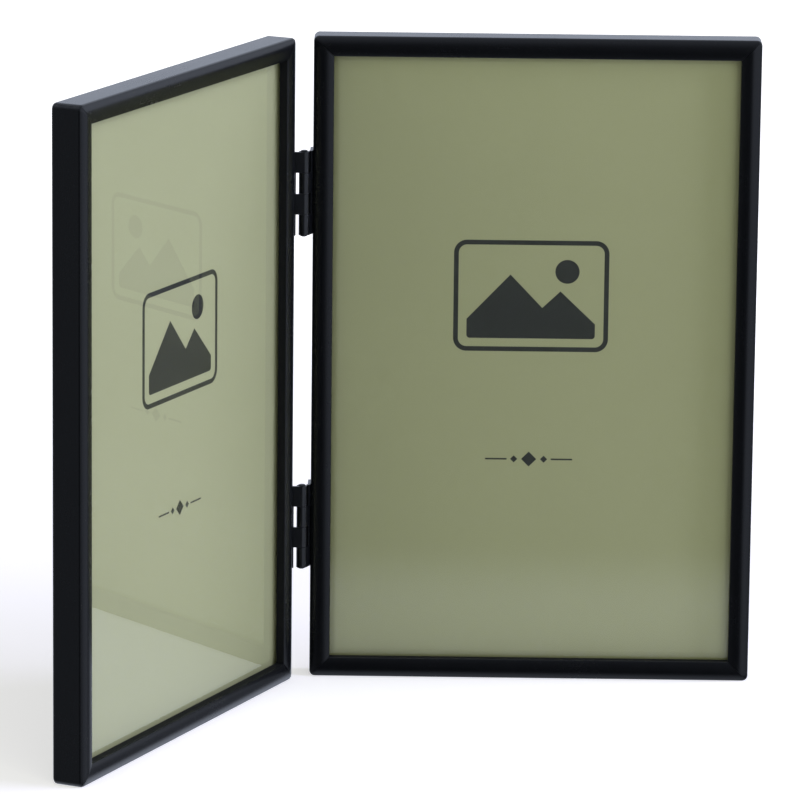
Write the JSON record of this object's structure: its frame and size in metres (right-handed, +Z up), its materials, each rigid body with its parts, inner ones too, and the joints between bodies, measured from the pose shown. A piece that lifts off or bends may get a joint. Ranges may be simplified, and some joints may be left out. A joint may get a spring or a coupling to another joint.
{
  "type": "hinged double photo frame",
  "caption": "Free-standing double photo frame: portrait frames of mitred black metal moulding with glass, hinged edge to edge so that they fold like a book.",
  "frame": {"origin": "centre of the footprint's bounding box, on the surface that the frame stands on, with the left leaf swung to 115 degrees from the right one", "axes": "+Z up, -Y the way the right leaf faces, +X from the hinges towards the right leaf's outer stile"},
  "size_m": [0.1622, 0.1062, 0.157],
  "materials": {
    "moulding": "satin black paint, slightly worn on the mitres",
    "hinge_metal": "black plated steel, satin",
    "clip_steel": "zinc plated, satin",
    "key_steel": "plain cold-rolled steel",
    "pane": "clear float glass, polished",
    "insert_paper": "matte coated paper, olive-cream",
    "board": "brown hardboard, matte",
    "flock": "black flocked paper, matte"
  },
  "bodies": {
    "right_leaf": {"right_top_rail": "moulding", "right_bottom_rail": "moulding", "right_hinge_stile": "moulding", "right_outer_stile": "moulding", "right_corner_keys": "key_steel", "right_glass": "pane", "right_photo_insert": "insert_paper", "right_backing_board": "board", "right_back_cover": "flock", "right_clip_rivets": "clip_steel", "upper_hinge_right_plate": "hinge_metal", "lower_hinge_right_plate": "hinge_metal", "upper_hinge_pin": "hinge_metal", "lower_hinge_pin": "hinge_metal"},
    "left_leaf": {"left_top_rail": "moulding", "left_bottom_rail": "moulding", "left_hinge_stile": "moulding", "left_outer_stile": "moulding", "left_corner_keys": "key_steel", "left_glass": "pane", "left_photo_insert": "insert_paper", "left_backing_board": "board", "left_back_cover": "flock", "left_clip_rivets": "clip_steel", "upper_hinge_left_plate": "hinge_metal", "lower_hinge_left_plate": "hinge_metal"},
    "right_turn_clip_outer": {"right_turn_clip_outer": "clip_steel"},
    "right_turn_clip_top": {"right_turn_clip_top": "clip_steel"},
    "right_turn_clip_hinge": {"right_turn_clip_hinge": "clip_steel"},
    "right_turn_clip_bottom": {"right_turn_clip_bottom": "clip_steel"},
    "left_turn_clip_outer": {"left_turn_clip_outer": "clip_steel"},
    "left_turn_clip_top": {"left_turn_clip_top": "clip_steel"},
    "left_turn_clip_hinge": {"left_turn_clip_hinge": "clip_steel"},
    "left_turn_clip_bottom": {"left_turn_clip_bottom": "clip_steel"}
  },
  "joints": [
    {"name": "leaf_hinge", "type": "hinge", "parent": "right_leaf", "child": "left_leaf", "pos_m": [-0.02716, 0.04415, 0.0785], "axis": [0, 0, 1], "range_deg": [-80, 115.25]},
    {"name": "right_turn_clip_outer_swivel", "type": "hinge", "parent": "right_leaf", "child": "right_turn_clip_outer", "pos_m": [0.0742, 0.05147, 0.0785], "axis": [0, 1, 0], "range_deg": [-90, 90]},
    {"name": "right_turn_clip_top_swivel", "type": "hinge", "parent": "right_leaf", "child": "right_turn_clip_top", "pos_m": [0.028, 0.05147, 0.1501], "axis": [0, 1, 0], "range_deg": [-90, 90]},
    {"name": "right_turn_clip_hinge_swivel", "type": "hinge", "parent": "right_leaf", "child": "right_turn_clip_hinge", "pos_m": [-0.0182, 0.05147, 0.0785], "axis": [0, 1, 0], "range_deg": [-90, 90]},
    {"name": "right_turn_clip_bottom_swivel", "type": "hinge", "parent": "right_leaf", "child": "right_turn_clip_bottom", "pos_m": [0.028, 0.05147, 0.0069], "axis": [0, 1, 0], "range_deg": [-90, 90]},
    {"name": "left_turn_clip_outer_swivel", "type": "hinge", "parent": "left_leaf", "child": "left_turn_clip_outer", "pos_m": [-0.07702, -0.04441, 0.0785], "axis": [-0.9045, 0.4266, 0], "range_deg": [-90, 90]},
    {"name": "left_turn_clip_top_swivel", "type": "hinge", "parent": "left_leaf", "child": "left_turn_clip_top", "pos_m": [-0.05731, -0.00262, 0.1501], "axis": [-0.9045, 0.4266, 0], "range_deg": [-90, 90]},
    {"name": "left_turn_clip_hinge_swivel", "type": "hinge", "parent": "left_leaf", "child": "left_turn_clip_hinge", "pos_m": [-0.03761, 0.03916, 0.0785], "axis": [-0.9045, 0.4266, 0], "range_deg": [-90, 90]},
    {"name": "left_turn_clip_bottom_swivel", "type": "hinge", "parent": "left_leaf", "child": "left_turn_clip_bottom", "pos_m": [-0.05731, -0.00262, 0.0069], "axis": [-0.9045, 0.4266, 0], "range_deg": [-90, 90]}
  ]
}
